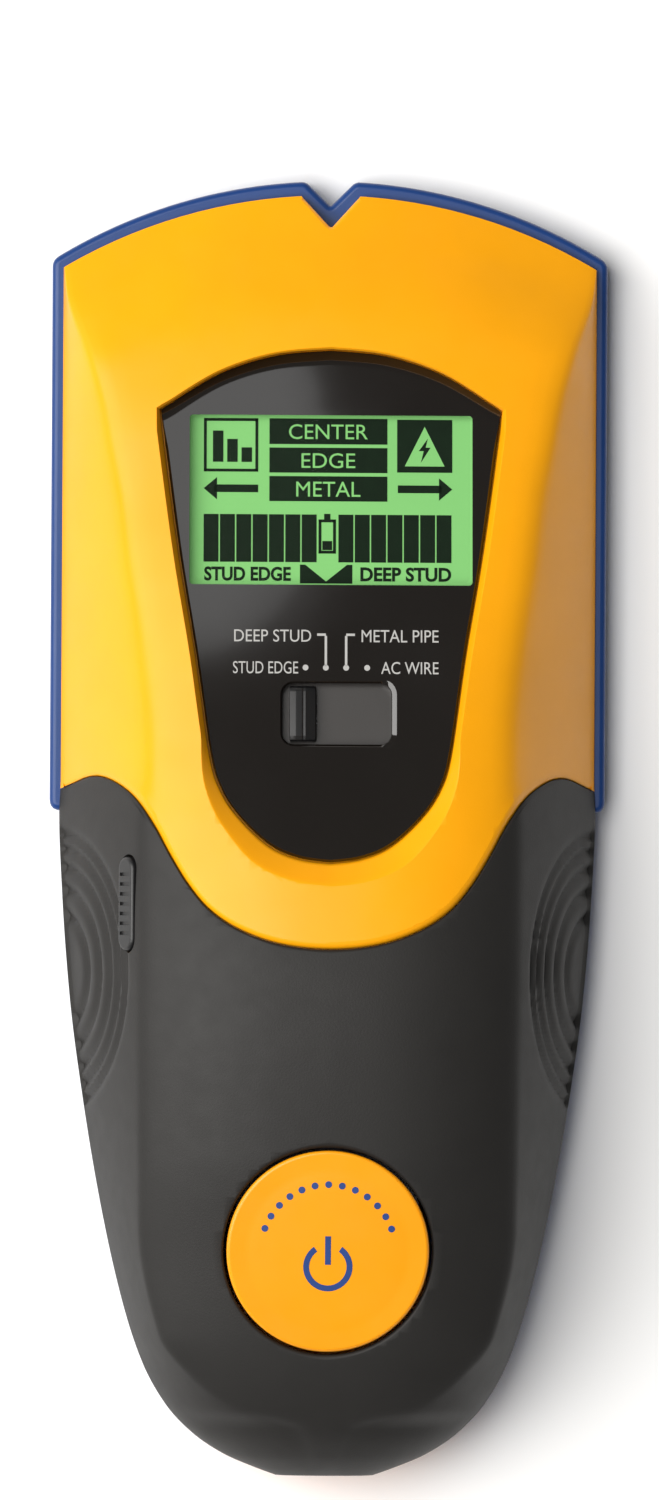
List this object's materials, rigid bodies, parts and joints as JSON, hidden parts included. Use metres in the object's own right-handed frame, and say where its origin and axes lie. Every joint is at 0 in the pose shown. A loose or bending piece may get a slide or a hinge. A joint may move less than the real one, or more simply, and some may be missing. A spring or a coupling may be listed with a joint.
{
  "type": "stud finder",
  "caption": "Hand-held stud finder with a notched flat sensing head, LCD display, mode slider, round button, rubber grip and sliding battery door.",
  "frame": {"origin": "centre of the footprint on the plane of the flat sensing face, which is the object's lowest plane", "axes": "+Y along the tool towards the aiming notch, +X to the right seen from the display side, +Z out of the display side"},
  "size_m": [0.08, 0.186, 0.038],
  "materials": {
    "yellow_plastic": "satin moulded ABS",
    "button_yellow": "satin moulded ABS",
    "door_yellow": "moulded ABS",
    "blue_plastic": "satin moulded ABS",
    "grip_rubber": "soft-touch thermoplastic rubber",
    "faceplate_gloss": "polished black lens",
    "black_plastic": "moulded",
    "slider_plastic": "satin moulded",
    "clear_window": "clear acrylic",
    "lcd_green": "lit display glass",
    "light_guide": "frosted acrylic",
    "dark_rubber": "silicone",
    "white_plastic": "moulded",
    "circuit_board": "solder mask",
    "copper": "copper foil and wire",
    "steel": "plated steel",
    "ribbon_cable": "flat cable",
    "battery_wrap": "printed metal jacket, plain",
    "foam_pad": "closed-cell foam",
    "red_insulation": "PVC wire insulation",
    "label_paper": "blank silver label"
  },
  "bodies": {
    "housing": {"front_housing": "yellow_plastic", "base_housing": "blue_plastic", "grip_overmold": "grip_rubber", "display_faceplate": "faceplate_gloss", "lcd_window": "clear_window", "lcd_glass": "lcd_green", "lcd_backlight": "light_guide", "zebra_strip_upper": "dark_rubber", "zebra_strip_lower": "dark_rubber", "lcd_frame": "white_plastic", "slide_switch_body": "steel", "main_pcb": "circuit_board", "microcontroller": "black_plastic", "sensor_amplifier": "black_plastic", "voltage_regulator": "black_plastic", "crystal_can": "steel", "ribbon_header": "white_plastic", "filter_capacitor": "black_plastic", "piezo_buzzer": "black_plastic", "sensor_board": "circuit_board", "sense_plate_left": "copper", "sense_plate_center": "copper", "sense_plate_right": "copper", "sensor_shield": "steel", "metal_sense_coil": "copper", "sensor_ribbon": "ribbon_cable", "button_dome": "dark_rubber", "button_board": "circuit_board", "side_switch": "black_plastic", "side_switch_board": "circuit_board", "battery": "battery_wrap", "battery_terminal_positive": "steel", "battery_terminal_negative": "steel", "battery_snap_connector": "black_plastic", "battery_lead_red": "red_insulation", "battery_lead_black": "black_plastic", "rating_label": "label_paper", "housing_screw_1": "steel", "housing_screw_2": "steel", "housing_screw_3": "steel", "housing_screw_4": "steel", "housing_screw_5": "steel", "housing_screw_6": "steel"},
    "mode_slider": {"mode_slider_knob": "slider_plastic", "slide_switch_actuator": "black_plastic"},
    "side_power_button": {"side_power_button": "black_plastic", "side_switch_plunger": "white_plastic"},
    "round_button": {"round_button": "button_yellow"},
    "battery_door": {"battery_door": "door_yellow", "battery_door_pad": "foam_pad"}
  },
  "joints": [
    {"name": "mode_slide", "type": "slide", "parent": "housing", "child": "mode_slider", "axis": [1, 0, 0], "range_m": [0, 0.0087]},
    {"name": "power_press", "type": "slide", "parent": "housing", "child": "side_power_button", "axis": [0.848, 0, -0.5299], "range_m": [0, 0.0008], "stiffness_N_per_m": 1500},
    {"name": "button_press", "type": "slide", "parent": "housing", "child": "round_button", "axis": [0, 0, -1], "range_m": [0, 0.001], "stiffness_N_per_m": 1500, "springref_m": -0.0002, "deforming": ["button_dome"]},
    {"name": "door_slide", "type": "slide", "parent": "housing", "child": "battery_door", "axis": [0, -0.995, 0.0995], "range_m": [0, 0.052]}
  ]
}
